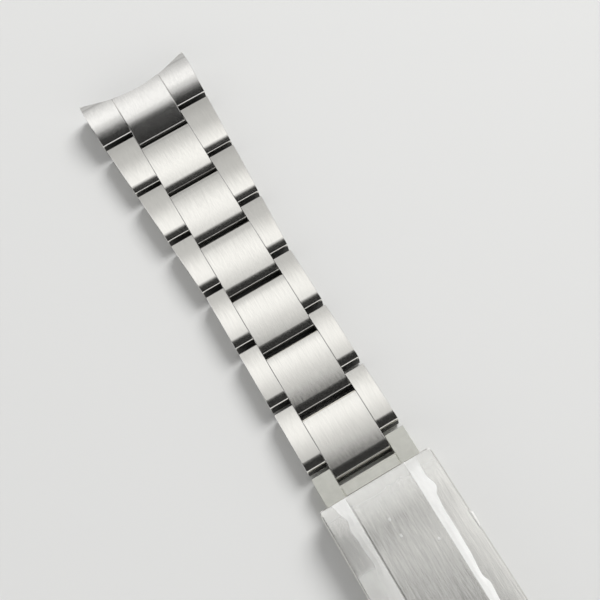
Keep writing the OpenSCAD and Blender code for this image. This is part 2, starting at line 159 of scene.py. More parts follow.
# A turn that starts at (x, z), from one slope to another in radians, with the place where it ends
def turn(x, z, radius, start, end):
    centre_x, centre_z = x - radius * math.sin(start), z - radius * math.cos(start)
    step = ("turn", centre_x, centre_z, math.degrees(end - start))
    return step, centre_x + radius * math.sin(end), centre_z + radius * math.cos(end)


# The steps over a crowned top, from start_x over its crest and down the rolls to the rear wall at x1, with
# the heights at which the top starts and ends
def over_crown(start_x, x1, crest_x, crest_z, crown_r, rolls):
    start = math.asin((start_x - crest_x) / crown_r)
    reach, last = 0, 0
    for radius, slope in rolls:
        reach += radius * (math.sin(math.radians(slope)) - last)
        last = math.sin(math.radians(slope))
    slope = math.asin((x1 - crest_x - reach) / (crown_r - rolls[0][0]))
    start_z = crest_z - crown_r + crown_r * math.cos(start)
    step, x, z = turn(start_x, start_z, crown_r, start, slope)
    steps = [step]
    for radius, reached in rolls:
        step, x, z = turn(x, z, radius, slope, math.radians(reached))
        steps.append(step)
        slope = math.radians(reached)
    return steps, start_z, z


# A bar with a crowned top. facets are flats before the crown, each a length and its rise in degrees.
def crowned_bar(name, x0, x1, y0, y1, crown, facets=(), under_r=0):
    runs = [(length * math.cos(math.radians(rise)), length * math.sin(math.radians(rise)))
            for length, rise in facets]
    top, start_z, end_z = over_crown(x0 + sum(dx for dx, dz in runs), x1, *crown)
    path = [("turn", x0 + under_r, under_r, 90)] if under_r else []
    path.append(("go", 0, start_z - sum(dz for dx, dz in runs) - under_r))
    path += [("go", dx, dz) for dx, dz in runs] + top + [("go", 0, under_r - end_z)]
    if under_r:
        path.append(("turn", x1 - under_r, under_r, 90))
    return swept_bar(name, x0 + under_r, x1 - under_r, y0, y1, path)


def plane_cut(piece, point, normal):
    only(piece)
    bpy.ops.object.mode_set(mode="EDIT")
    bpy.ops.mesh.select_all(action="SELECT")
    bpy.ops.mesh.bisect(plane_co=point, plane_no=Vector(normal).normalized(), use_fill=True, clear_outer=True,
                        threshold=TINY / 100)
    bpy.ops.object.mode_set(mode="OBJECT")


def combined(piece, tool, operation):
    only(piece)
    step = piece.modifiers.new(operation, "BOOLEAN")
    step.operation = operation
    step.object = tool
    step.solver = "EXACT"
    bpy.ops.object.modifier_apply(modifier=step.name)
    bpy.data.objects.remove(tool)


def add_on(piece, form):
    combined(piece, form, "UNION")


def cut_out(piece, form):
    combined(piece, form, "DIFFERENCE")


def round_bar(radius, x, z, y0, y1, sides=48):
    bpy.ops.object.select_all(action="DESELECT")
    bpy.ops.mesh.primitive_cylinder_add(vertices=sides, radius=radius, depth=y1 - y0,
                                        location=(x, (y0 + y1) / 2, z), rotation=(math.pi / 2, 0, 0))
    return bpy.context.object


def bored(piece, radius, x, z, y0, y1):
    cut_out(piece, round_bar(radius, x, z, y0, y1))


# Edges that turn by more than SHARP_EDGE are broken. A face whose normal's part along the bracelet is more
# than END_WALL_NORMAL is an end wall, which is given the painted shade of the gaps.
SHARP_EDGE = math.radians(40)
EDGE_SEGMENTS = 3
END_WALL_NORMAL = 0.97


# Breaks the sharp edges with a narrow bevel of the last finish, and keeps the corners where bevels meet
# inside the piece's box. Where there are three, the second is not a finish but a near-black painted shade for
# the end walls in the gaps.
def edges_broken(piece, width, finishes_and_shade):
    only(piece)
    low, high = Vector(piece.bound_box[0]), Vector(piece.bound_box[6])
    for finish in finishes_and_shade:
        piece.data.materials.append(finish)
    step = piece.modifiers.new("broken edges", "BEVEL")
    step.width = width
    step.segments = EDGE_SEGMENTS
    step.limit_method = "ANGLE"
    step.angle_limit = SHARP_EDGE
    step.use_clamp_overlap = False
    step.material = len(finishes_and_shade) - 1
    bpy.ops.object.modifier_apply(modifier=step.name)
    for vertex in piece.data.vertices:
        vertex.co = [max(low[axis], min(vertex.co[axis], high[axis])) for axis in range(3)]
    # The end walls take the near-black painted shade that stands for the dark of the narrow gaps
    if len(finishes_and_shade) == 3:
        for face in piece.data.polygons:
            if abs(face.normal.x) > END_WALL_NORMAL:
                face.material_index = 1


SMOOTH_ANGLE = math.radians(12)


# Brings a piece that was made in millimetres to its real size, and smooths its shading across rounded places
def to_real_size(piece):
    only(piece)
    piece.scale = (MM, MM, MM)
    bpy.ops.object.transform_apply(location=True, rotation=True, scale=True)
    bpy.ops.object.shade_smooth_by_angle(angle=SMOOTH_ANGLE)
    return piece


# The other half's piece is a mirror image, turned right side out again
def mirrored(piece, name):
    other = piece.copy()
    other.data = piece.data.copy()
    other.name = name
    bpy.context.collection.objects.link(other)
    only(other)
    other.scale = (-1, 1, 1)
    bpy.ops.object.transform_apply(location=True, rotation=True, scale=True)
    bpy.ops.object.mode_set(mode="EDIT")
    bpy.ops.mesh.select_all(action="SELECT")
    bpy.ops.mesh.normals_make_consistent(inside=False)
    bpy.ops.object.mode_set(mode="OBJECT")
    return other


def ridden(piece, body, node):
    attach(piece, body)
    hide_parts(node)


def steel_nodes(name, roughness):
    material = bpy.data.materials.new(name)
    material.use_nodes = True
    shader = material.node_tree.nodes["Principled BSDF"]
    shader.inputs["Metallic"].default_value = 1.0
    shader.inputs["Roughness"].default_value = roughness
    place = material.node_tree.nodes.new("ShaderNodeTexCoord")
    return material, shader, place


def noise(material, place, scale, detail=2.0):
    nodes, links = material.node_tree.nodes, material.node_tree.links
    stretch = nodes.new("ShaderNodeMapping")
    stretch.inputs["Scale"].default_value = scale
    links.new(place.outputs["Object"], stretch.inputs["Vector"])
    grain = nodes.new("ShaderNodeTexNoise")
    grain.inputs["Scale"].default_value = 1.0
    grain.inputs["Detail"].default_value = detail
    grain.inputs["Roughness"].default_value = 0.6
    links.new(stretch.outputs["Vector"], grain.inputs["Vector"])
    return grain.outputs["Fac"]


# Spreads a noise, nearly all of which lies between low and high, over another range
def ranged(material, value, to_low, to_high, low=0.3, high=0.7):
    node = material.node_tree.nodes.new("ShaderNodeMapRange")
    for socket, number in zip(("From Min", "From Max", "To Min", "To Max"), (low, high, to_low, to_high)):
        node.inputs[socket].default_value = number
    material.node_tree.links.new(value, node.inputs["Value"])
    return node.outputs["Result"]


def toned(material, value, dark, light):
    node = material.node_tree.nodes.new("ShaderNodeMix")
    node.data_type = "RGBA"
    node.inputs["A"].default_value = (*dark, 1)
    node.inputs["B"].default_value = (*light, 1)
    material.node_tree.links.new(value, node.inputs["Factor"])
    return node.outputs["Result"]


def bumped(material, shader, value, depth):
    node = material.node_tree.nodes.new("ShaderNodeBump")
    node.inputs["Strength"].default_value = 1.0
    node.inputs["Distance"].default_value = depth
    material.node_tree.links.new(value, node.inputs["Height"])
    material.node_tree.links.new(node.outputs["Normal"], shader.inputs["Normal"])
    return node


# The brush lines' two sets, as how many there are to a metre along and across, and what they do to the gloss
FINE_LINES = (260, 9000, 9000)
BROAD_LINES = (400, 6000, 6000)
LINE_DETAIL = 3.0
LINE_SPREAD = 0.9
LINE_GLOSS = 0.15


# Satin steel with fine lengthwise brush lines. They vary its tone and its gloss, spread the light across
# themselves more than along, and each leans a little forwards or back, which streaks the crowns' shading.
def brushed_steel(name, colour, roughness, contrast, depth, lean):
    material, shader, place = steel_nodes(name, roughness)
    nodes, links = material.node_tree.nodes, material.node_tree.links
    shader.inputs["Anisotropic"].default_value = LINE_SPREAD
    surface = nodes.new("ShaderNodeNewGeometry")
    spread = nodes.new("ShaderNodeVectorMath")
    spread.operation = "CROSS_PRODUCT"
    links.new(surface.outputs["Normal"], spread.inputs[0])
    spread.inputs[1].default_value = (1, 0, 0)
    links.new(spread.outputs["Vector"], shader.inputs["Tangent"])
    fine = noise(material, place, FINE_LINES, LINE_DETAIL)
    broad = noise(material, place, BROAD_LINES, LINE_DETAIL)
    dark = [c * (1 - contrast) for c in colour]
    light = [min(1.0, c * (1 + contrast)) for c in colour]
    links.new(toned(material, ranged(material, fine, 0.0, 1.0), dark, light), shader.inputs["Base Color"])
    links.new(ranged(material, broad, roughness * (1 + LINE_GLOSS), roughness * (1 - LINE_GLOSS)),
              shader.inputs["Roughness"])
    ridges = bumped(material, shader, fine, depth)
    leaning = nodes.new("ShaderNodeCombineXYZ")
    links.new(ranged(material, broad, -lean, lean), leaning.inputs["X"])
    leant = nodes.new("ShaderNodeVectorMath")
    links.new(ridges.outputs["Normal"], leant.inputs[0])
    links.new(leaning.outputs["Vector"], leant.inputs[1])
    unit = nodes.new("ShaderNodeVectorMath")
    unit.operation = "NORMALIZE"
    links.new(leant.outputs["Vector"], unit.inputs[0])
    links.new(unit.outputs["Vector"], shader.inputs["Normal"])
    return material


def plain_steel(name, colour, roughness, grain, darker=0.94, rougher=1.4):
    material, shader, place = steel_nodes(name, roughness)
    links = material.node_tree.links
    wear = noise(material, place, grain)
    links.new(toned(material, wear, [c * darker for c in colour], colour), shader.inputs["Base Color"])
    links.new(ranged(material, wear, roughness, roughness * rougher), shader.inputs["Roughness"])
    return material


end_steel = brushed_steel("end link brushed steel", colour=(0.80, 0.79, 0.765), roughness=0.2, contrast=0.04,
                          depth=0.8e-6, lean=0.009)
edge_steel = plain_steel("polished edge steel", colour=(0.84, 0.83, 0.81), roughness=0.1,
                         grain=(900, 900, 900))
# Painted shade: the end walls in the narrow gaps between rows are coloured near black, so that the gaps look
# dark
gap_painted_shade = plain_steel("end wall painted shade", colour=(0.13, 0.13, 0.125), roughness=0.6,
                        grain=(900, 5000, 900))

end_low, end_high = corners("end_link_a")
end_case_x = ROW_FRONT - END_LENGTH
end_front = end_low.x - END_SPARE
tongue_half = corners("centre_link_a1")[1].y
outer_rear = ROW_FRONT - OUTER_GAP - REAR_SET
tongue_rear = corners("centre_link_a1")[0].x - CENTRE_GAP - REAR_SET


# A strip with the outer strips' side view, which rolls down at the front to follow the watch's lugs
def end_outer_strip(y0, y1, sunk=0):
    crest_x, crest_z = ROW_FRONT - END_OUTER_CREST, END_OUTER_H - sunk
    crown_r, roll_r = END_OUTER_CROWN_R - sunk, END_FRONT_ROLL_R - sunk
    start_x, rear_x = ROW_FRONT - END_FRONT_ROLL, outer_rear - sunk
    top, start_z, end_z = over_crown(start_x, rear_x, crest_x, crest_z, crown_r, END_OUTER_ROLLS)
    lean = math.asin((start_x - crest_x) / crown_r)
    roll_x, roll_z = start_x - roll_r * math.sin(lean), start_z - roll_r * math.cos(lean)
    tip = math.radians(END_TIP_TURN)
    path = [("go", 0, roll_z + roll_r * math.cos(tip)), ("turn", roll_x, roll_z, math.degrees(lean + tip))]
    path += top + [("go", 0, -end_z)]
    return swept_bar("end strip", roll_x - roll_r * math.sin(tip), rear_x, y0, y1, path)


end_piece = crowned_bar("end_piece_a", end_front, tongue_rear, -tongue_half, tongue_half,
                        (ROW_FRONT - END_CENTRE_CREST, END_CENTRE_H, END_CENTRE_CROWN_R, END_CENTRE_ROLLS))
add_on(end_piece, end_outer_strip(-end_high.y, -tongue_half - END_SEAM))
add_on(end_piece, end_outer_strip(tongue_half + END_SEAM, end_high.y))
add_on(end_piece, end_outer_strip(-END_CORE, END_CORE, END_SEAM_DEPTH))
bpy.ops.object.select_all(action="DESELECT")
bpy.ops.mesh.primitive_cylinder_add(vertices=CASE_SIDES, radius=CASE_R, depth=CASE_T,
                                    location=(end_case_x - CASE_R, 0, CASE_MID_Z))
cut_out(end_piece, bpy.context.object)
bar_x = end_case_x + BAR_FROM_CASE
plane_cut(end_piece, (bar_x, 0, 0), (-RELIEF_RISE, 0, end_front - END_SPARE - bar_x))
for side in (-1, 1):
    plane_cut(end_piece, (end_case_x, side * end_high.y, 0), (END_TAPER, side * END_LENGTH, 0))
bored(end_piece, BAR_BORE_R, bar_x, BAR_HEIGHT, -BAR_BORE_HALF, BAR_BORE_HALF)
bored(end_piece, PIN_R + PIN_PLAY, ROW_FRONT + HINGE_IN, PIN_HEIGHT, -HINGE_BORE_HALF, HINGE_BORE_HALF)
edges_broken(end_piece, END_EDGE, [end_steel, gap_painted_shade, edge_steel])
to_real_size(end_piece)
ridden(end_piece, "end_a", "end_link_a")
ridden(mirrored(end_piece, "end_piece_b"), "end_b", "end_link_b")

# Outer links
# Two in each row, cut from drawn steel bar with a low crown, brushed lengthwise. The front's lower edge is
# rounded, and the rear of the top rolls down to a polished edge above the narrow gap to the next row.

# The rows of the longer half, a, and of the shorter one, b, and the sides' signs across the bracelet
HALF_ROWS = {"a": (1, 2, 3, 4, 5, 6), "b": (1, 2, 3, 4)}
SIDES = {"left": -1, "right": 1}
# The tops, placed by the crest's distance behind the link's front, with their rear rolls
LINK_CROWN_R = 44
OUTER_CREST = 4.5
OUTER_ROLLS = [(2.8, 22), (12, 24), (0.5, 90)]
OUTER_EDGE = 0.06
UNDER_R = 0.9
# How far each row's links lean, as the shift of their crests, as no row lies quite level in the photograph
CREST_SHIFT = {1: -0.8, 2: -0.15, 3: 0.15, 4: 0.1, 5: -0.1, 6: 1.2}
# The cross pin's distance behind the front, how deep pins end in a link, and the seat of the screw's head
CROSS_IN = 6.4
PIN_DEPTH = 2
HEAD_R = 0.8
HEAD_LENGTH = 0.7
outer_steel = brushed_steel("outer link brushed steel", colour=(0.80, 0.787, 0.745), roughness=0.2,
                            contrast=0.04, depth=0.8e-6, lean=0.009)


def half_width(word, row):
    low, high = corners("outer_link_" + word + "_a" + str(row))
    return max(abs(low.y), abs(high.y))


def outer_bar(word, row):
    side, name = SIDES[word], word + "_a" + str(row)
    low, high = corners("outer_link_" + name)
    inner, front_half = sorted((abs(low.y), abs(high.y)))
    y0, y1 = sorted((side * inner, side * front_half))
    crown = (low.x + OUTER_CREST + CREST_SHIFT[row], high.z, LINK_CROWN_R, OUTER_ROLLS)
    bar = crowned_bar("outer_bar_" + name, low.x, high.x - REAR_SET, y0, y1, crown, under_r=UNDER_R)
    narrowing = front_half - half_width(word, row + 1) if row + 1 in HALF_ROWS["a"] else 0
    if narrowing > TINY:
        plane_cut(bar, (low.x, side * front_half, 0), (narrowing, side * (high.x + OUTER_GAP - low.x), 0))
    for x in (low.x + HINGE_IN, low.x + CROSS_IN):
        y0, y1 = sorted((side * (inner - OVERCUT), side * (inner + PIN_DEPTH)))
        bored(bar, PIN_R, x, PIN_HEIGHT, y0, y1)
    if word == "right":
        seat = corners("link_pins_a" + str(row))[1].y - HEAD_LENGTH
        bored(bar, PIN_R, low.x + HINGE_IN, PIN_HEIGHT, inner + OVERCUT, seat + OVERLAP)
        bored(bar, HEAD_R, low.x + HINGE_IN, PIN_HEIGHT, seat, front_half + OVERCUT)
    edges_broken(bar, OUTER_EDGE, [outer_steel, gap_painted_shade, edge_steel])
    return to_real_size(bar)


# A link moves with its row, and its mirror image stands in the other half, where that has such a row
def in_both_halves(bar, row, node, name):
    tag = "_a" + str(row)
    ridden(bar, "row" + tag, node + tag)
    if row in HALF_ROWS["b"]:
        tag = "_b" + str(row)
        ridden(mirrored(bar, name + tag), "row" + tag, node + tag)


for row in HALF_ROWS["a"]:
    for word in SIDES:
        in_both_halves(outer_bar(word, row), row, "outer_link_" + word,
                       "outer_bar_" + word)

# Centre links
# One in each row, a quarter of a row behind its outer links. The same bar as theirs, with a fine bevel and a
# narrow flat along the front edge, and the rear rolled over towards the hinge.
CENTRE_CREST = 1.8
CENTRE_ROLLS = [(3.2, 22), (12, 24), (0.65, 90)]
CENTRE_FACETS = [(0.42, 45), (0.7, 5)]
CENTRE_EDGE = 0.03
# How much wider it is than its solid on each side, and the distances of its bores behind its front
CENTRE_SIDE = 0.02
CENTRE_HINGE = 9.1
CENTRE_CROSS = 3.6
centre_steel = brushed_steel("centre link brushed steel", colour=(0.81, 0.797, 0.755), roughness=0.2,
                             contrast=0.05, depth=1e-6, lean=0.008)


def centre_bar(row):
    name = "a" + str(row)
    low, high = corners("centre_link_" + name)
    crown = (low.x + CENTRE_CREST + CREST_SHIFT[row], high.z, LINK_CROWN_R, CENTRE_ROLLS)
    bar = crowned_bar("centre_bar_" + name, low.x, high.x - REAR_SET, low.y - CENTRE_SIDE,
                      high.y + CENTRE_SIDE, crown, CENTRE_FACETS, UNDER_R)
    for radius, x in ((PIN_R, low.x + CENTRE_CROSS), (PIN_R + PIN_PLAY, low.x + CENTRE_HINGE)):
        bored(bar, radius, x, PIN_HEIGHT, low.y - OVERCUT, high.y + OVERCUT)
    edges_broken(bar, CENTRE_EDGE, [centre_steel, gap_painted_shade, edge_steel])
    return to_real_size(bar)


for row in HALF_ROWS["a"]:
    in_both_halves(centre_bar(row), row, "centre_link", "centre_bar")

# Hinge screws, pins and the snap stud
# Turned from bar. A screw goes in from the right, through the centre link before its row, and only its
# slotted head shows, sunk in the right outer link.
turned_steel, turned_shader, turned_place = steel_nodes("turned steel", roughness=0.24)
turning = noise(turned_steel, turned_place, (1500, 14000, 1500))
turned_steel.node_tree.links.new(
    toned(turned_steel, turning, (0.66, 0.66, 0.65), (0.78, 0.77, 0.76)), turned_shader.inputs["Base Color"])
turned_steel.node_tree.links.new(
    ranged(turned_steel, turning, 0.18, 0.32), turned_shader.inputs["Roughness"])
bumped(turned_steel, turned_shader, turning, depth=1e-6)

turned_nodes = ["link_pins_" + half + str(row) for half, rows in HALF_ROWS.items() for row in rows]
turned_nodes += ["slide_hinge_pin", "blade_end_pin", "cover_hinge_pin", "fold_hinge_pin", "snap_stud"]
for node in turned_nodes:
    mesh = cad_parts[node].data
    if not mesh.materials:
        mesh.materials.append(turned_steel)
    for index in range(len(mesh.materials)):
        mesh.materials[index] = turned_steel

# Adjusting slide
# The matte, bead-blasted end piece that carries the longer half into the clasp. Three strips stand on it,
# with fine seams between them, and a thin plate behind it runs on the cover's rails.
SLIDE_TOP = 3.2
SLIDE_BLOCK = 7.0
SLIDE_SEAM = 0.12
SLIDE_BEVEL = 0.3
SLIDE_EDGE = 0.06
SLIDE_PLATE_T = 1.3
# How far the middle strip starts behind the outer ones, and how far the core that joins them stands inside
STAGGER = 2.8
SLIDE_CORE_IN = 0.05
SLIDE_CORE_UP = 0.03
matte_steel, matte_shader, matte_place = steel_nodes("bead-blasted steel", roughness=0.5)
blasting = noise(matte_steel, matte_place, (7000, 7000, 7000), detail=3.0)
clouding = noise(matte_steel, matte_place, (700, 700, 700))
matte_steel.node_tree.links.new(
    toned(matte_steel, ranged(matte_steel, clouding, 0.0, 1.0), (0.86, 0.86, 0.79), (0.94, 0.94, 0.87)),
    matte_shader.inputs["Base Color"])
matte_steel.node_tree.links.new(
    ranged(matte_steel, blasting, 0.46, 0.56), matte_shader.inputs["Roughness"])
bumped(matte_steel, matte_shader, blasting, depth=4e-6)

slide_low, slide_high = corners("adjusting_slide")
slide_half = half_width("right", HALF_ROWS["a"][-1])
slide_rear = slide_low.x + SLIDE_BLOCK
middle_front = slide_low.x + STAGGER


def flat_bar(name, x0, x1, y0, y1, z0, z1, under_r=0, bevel=0):
    path = [("turn", x0 + under_r, z0 + under_r, 90)] if under_r else []
    path.append(("go", 0, z1 - z0 - under_r - bevel))
    if bevel:
        path.append(("go", bevel, bevel))
    path += [("go", x1 - x0 - bevel, 0), ("go", 0, z0 - z1)]
    return swept_bar(name, x0 + under_r, x1, y0, y1, path, z0)


slide_piece = flat_bar("slide_body", slide_low.x, slide_rear, -slide_half, -tongue_half - SLIDE_SEAM, 0,
                       SLIDE_TOP, UNDER_R)
add_on(slide_piece, flat_bar("slide ear", slide_low.x, slide_rear, tongue_half + SLIDE_SEAM, slide_half, 0,
                             SLIDE_TOP, UNDER_R))
add_on(slide_piece, flat_bar("slide core", middle_front, slide_rear - SLIDE_CORE_IN, -END_CORE, END_CORE,
                             SLIDE_CORE_UP, SLIDE_TOP - SLIDE_SEAM))
add_on(slide_piece, flat_bar("slide middle", middle_front, slide_rear, -tongue_half, tongue_half, 0,
                             SLIDE_TOP, bevel=SLIDE_BEVEL))
add_on(slide_piece, flat_bar("slide plate", slide_rear - OVERLAP, slide_high.x, slide_low.y, slide_high.y,
                             slide_high.z - SLIDE_PLATE_T, slide_high.z))
pin_end = tongue_half + PIN_DEPTH
bored(slide_piece, PIN_R, slide_low.x + HINGE_IN, PIN_HEIGHT, -pin_end, pin_end)
edges_broken(slide_piece, SLIDE_EDGE, [matte_steel])
to_real_size(slide_piece)
ridden(slide_piece, "slide", "adjusting_slide")

# Clasp cover
# Pressed from one steel sheet: three brushed strips and two narrow grooves on a top that swells a little
# behind the mouth, with rounded edges, and side walls with rails for the slide and bosses for the hinge pin.

# The thickness of the top and of the sides, and the rounded corners and rims, each a radius and its steps
COVER_T = 0.8
COVER_SIDE = 0.9
CORNER_R, CORNER_STEPS = 0.9, 6
RIM_R, RIM_STEPS = 0.45, 4
COVER_EDGE = 0.06
# The top's side view: radii, and slopes in degrees, of the swell, of its foot and of the bend at the far end
SWELL_R = 57.3
MOUTH_SLOPE = 3.5
SWELL_SLOPE = 2.5
SWELL_FOOT_R = 115
FAR_BEND_R = 48
FAR_BEND = 6
# Half the middle strip, the grooves beside it, and how far the outer strips lie below it
STRIP_HALF = 4.6
GROOVE_W = 0.25
GROOVE_DEPTH = 0.25
SIDE_DROP = 0.12
# How far the core under the grooves stands inside the cover's sides, ends and lower rims
CORE_SIDE = 0.6
CORE_IN = 0.06
CORE_UP = 0.05
# The slide's rails, which start behind its block, and the round bosses at the far end
RAIL_GAP = 0.3
RAIL_LENGTH = 15
RAIL_W = 0.6
RAIL_Z = 1.9
RAIL_T = 0.65
BOSS_R = 1.1
cover_steel = brushed_steel("cover brushed steel", colour=(0.86, 0.852, 0.815), roughness=0.22,
                            contrast=0.11, depth=1e-6, lean=0.016)
cover_low, cover_high = corners("clasp_cover")
cover_mid = (cover_low.x + cover_high.x) / 2
cover_half_l = (cover_high.x - cover_low.x) / 2
# Where the swell's crest lies, and where the bend at the far end starts
swell_x = cover_low.x + SWELL_R * math.sin(math.radians(MOUTH_SLOPE))
far_x = cover_high.x - FAR_BEND_R * math.sin(math.radians(FAR_BEND))
pin_low, pin_high = corners("cover_hinge_pin")
cover_pin_x, cover_pin_z = (pin_low.x + pin_high.x) / 2, (pin_low.z + pin_high.z) / 2


# The steps over the cover's top, drop below it, from x0 to x1, and the heights of its two ends and its flat
def over_cover(x0, x1, drop):
    swell_r, foot_r, far_r = SWELL_R - drop, -SWELL_FOOT_R - drop, FAR_BEND_R - drop
    mouth, steepest = math.asin((x0 - swell_x) / swell_r), math.radians(SWELL_SLOPE)
    start_z = cover_high.z - SWELL_R + swell_r * math.cos(mouth)
    swell, x, z = turn(x0, start_z, swell_r, mouth, steepest)
    foot, x, flat_z = turn(x, z, foot_r, steepest, 0)
    bend, _, end_z = turn(far_x, flat_z, far_r, 0, math.asin((x1 - far_x) / far_r))
    return [swell, foot, ("go", far_x - x, 0), bend], start_z, end_z, flat_z


# A bar with the cover's side view, drop below its top and from height z0
def cover_bar(name, y0, y1, drop, z0=0, inset=0):
    x0, x1 = cover_low.x + inset, cover_high.x - inset
    top, start_z, end_z, _ = over_cover(x0, x1, drop)
    return swept_bar(name, x0, x1, y0, y1, [("go", 0, start_z - z0)] + top + [("go", 0, z0 - end_z)], z0)


# Rounds the edges that pass the test, given an edge's two face normals and its middle
def rounded(piece, radius, segments, wanted):
    only(piece)
    bpy.ops.object.mode_set(mode="EDIT")
    bpy.ops.mesh.select_mode(type="EDGE")
    select_edges(piece, lambda edge: len(edge.link_faces) == 2 and wanted(
        edge.link_faces[0].normal, edge.link_faces[1].normal, (edge.verts[0].co + edge.verts[1].co) / 2))
    bpy.ops.mesh.bevel(offset=radius, segments=segments, profile=0.5, affect="EDGES", clamp_overlap=False)
    bpy.ops.object.mode_set(mode="OBJECT")


# A rim lies between the top and a wall, and an upright corner between two walls. SQUARE and UPWARD are the
# cosines up to which two directions count as square, and from which a face counts as a top.
SQUARE = 0.2
UPWARD = 0.8


def is_rim(a, b):
    return max(a.z, b.z) > UPWARD and abs(min(a.z, b.z)) < SQUARE


def is_corner(a, b):
    return max(abs(a.z), abs(b.z), abs(a.dot(b))) < SQUARE


cover_piece = cover_bar("cover_shell", -STRIP_HALF, STRIP_HALF, 0)
rounded(cover_piece, RIM_R, RIM_STEPS,
        lambda a, b, at: is_rim(a, b) and abs(abs(at.x - cover_mid) - cover_half_l) < TINY)
for side in (-1, 1):
    y0, y1 = sorted((side * (STRIP_HALF + GROOVE_W), side * cover_high.y))
    strip = cover_bar("cover strip", y0, y1, SIDE_DROP)
    rounded(strip, CORNER_R, CORNER_STEPS,
            lambda a, b, at: is_corner(a, b) and abs(at.y) > cover_high.y - TINY)
    rounded(strip, RIM_R, RIM_STEPS,
            lambda a, b, at: is_rim(a, b) and not abs(abs(at.y) - STRIP_HALF - GROOVE_W) < TINY)
    add_on(cover_piece, strip)
core_half = cover_high.y - CORE_SIDE
add_on(cover_piece, cover_bar("cover core", -core_half, core_half, SIDE_DROP + GROOVE_DEPTH, CORE_UP,
                              CORE_IN))
inner_half = cover_high.y - COVER_SIDE
cut_out(cover_piece, cover_bar("cover hollow", -inner_half, inner_half, COVER_T, -OVERCUT, -OVERCUT))
rail_x = slide_rear + RAIL_GAP
for side in (-1, 1):
    y0, y1 = sorted((side * (inner_half - RAIL_W), side * (inner_half + OVERLAP)))
    add_on(cover_piece, flat_bar("cover rail", rail_x, rail_x + RAIL_LENGTH, y0, y1, RAIL_Z, RAIL_Z + RAIL_T))
    y0, y1 = sorted((side * (corners("upper_blade")[1].y + OVERLAP), side * (inner_half + OVERLAP)))
    add_on(cover_piece, round_bar(BOSS_R, cover_pin_x, cover_pin_z, y0, y1))
bored(cover_piece, PIN_R, cover_pin_x, cover_pin_z, pin_low.y, pin_high.y)
edges_broken(cover_piece, COVER_EDGE, [cover_steel, edge_steel])
to_real_size(cover_piece)
ridden(cover_piece, "cover", "clasp_cover")

# Fold blades
# Stamped and polished steel strips that fold under the cover, with rolled knuckles at both ends. The lower
# one ends in the block whose ears hold the shorter half. Each keeps its solid's form, with broken edges.
BLADE_EDGE = 0.08
BLADE_FLAT = math.radians(1)
blade_steel = brushed_steel("blade polished steel", colour=(0.76, 0.76, 0.75), roughness=0.18, contrast=0.03,
                            depth=0.6e-6, lean=0.008)
for node, name in (("upper_blade", "blade_upper_stamped"), ("lower_blade", "blade_lower_stamped")):
    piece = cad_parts[node].copy()
    piece.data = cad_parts[node].data.copy()
    piece.name = name
    piece.parent = None
    # The copy takes none of the solid's own marks with it
    for key in list(piece.keys()):
        del piece[key]
    bpy.context.collection.objects.link(piece)
    only(piece)
    piece.data.materials.clear()
    bpy.ops.object.mode_set(mode="EDIT")
    bpy.ops.mesh.select_all(action="SELECT")
    bpy.ops.mesh.remove_doubles(threshold=TINY * MM)
    bpy.ops.mesh.dissolve_limited(angle_limit=BLADE_FLAT)
    bpy.ops.mesh.normals_make_consistent(inside=False)
    bpy.ops.object.mode_set(mode="OBJECT")
    edges_broken(piece, BLADE_EDGE * MM, [blade_steel, edge_steel])
    bpy.ops.object.shade_smooth_by_angle(angle=SMOOTH_ANGLE)
    ridden(piece, node, node)

# Protective film
# A clear self-adhesive film left on the cover. It clings to the middle strip, bridges the step at each groove
# with air under it, where it looks milky, and is torn and lifted at the right edge.

# Its grid, in which two lines lie FILM_MIDDLE beside the middle one
FILM_COLUMNS = 150
FILM_LINES = 16
FILM_MIDDLE = 2
# Its thickness, its height over the cover and over a step's air, and how much of it shows where it is clear
FILM_T = 0.03
FILM_LIFT = 0.015
FILM_BRIDGE = 0.03
FILM_CLEAR = 0.03
# How far past the middle strip the right band starts, and the widths over which a band's milkiness begins and
# ends
BAND_START = 0.02
BAND_RISE = 0.04
BAND_FADE = 0.15
# Where the milky bands beside the grooves end, as distance behind the cover's mouth and from the middle
RIGHT_BAND = [(0.0, 6.5), (1.5, 6.3), (3.0, 6.2), (5.1, 6.7), (6.3, 6.1), (8.5, 5.9), (11.3, 5.9),
              (14.5, 5.8), (17.9, 5.5), (19.3, 5.9), (22.0, 5.7), (27.0, 5.6), (33.0, 5.9), (38.0, 6.1)]
LEFT_BAND = [(0.0, 6.9), (1.2, 6.6), (3.3, 6.0), (4.4, 6.3), (6.5, 6.1), (8.0, 6.0), (9.6, 5.8),
             (12.0, 6.3), (15.0, 6.5), (20.0, 6.4), (26.0, 6.3), (32.0, 6.6), (38.0, 6.9)]
# How milky the film is at a distance behind the mouth: all of it, in the two bands, and left of the left band
MOUTH_MILK = [(0.0, 0.35), (5.5, 0.0), (38.0, 0.0)]
RIGHT_MILK = [(0.0, 0.5), (2.5, 0.9), (38.0, 0.9)]
LEFT_MILK = [(0.0, 0.85), (2.2, 0.85), (4.5, 0.55), (7.0, 0.4), (38.0, 0.4)]
EDGE_MILK = [(0.0, 0.1), (9.4, 0.1), (10.6, 0.3), (38.0, 0.24)]
# The torn flap at the right edge, in the same measures: its corners, its milkiness from the edge outwards,
# its faces, and how it rises, waves and droops
FLAP = [(10.0, 8.5), (13.0, 8.6), (12.3, 8.95), (10.6, 9.05)]
FLAP_MILK = [(0, 0.2), (1, 0.8)]
FLAP_COLUMNS, FLAP_LINES = 8, 6
FLAP_RISE = 0.08
FLAP_WAVE, FLAP_WAVES = 0.05, 5
FLAP_DROOP = 0.2
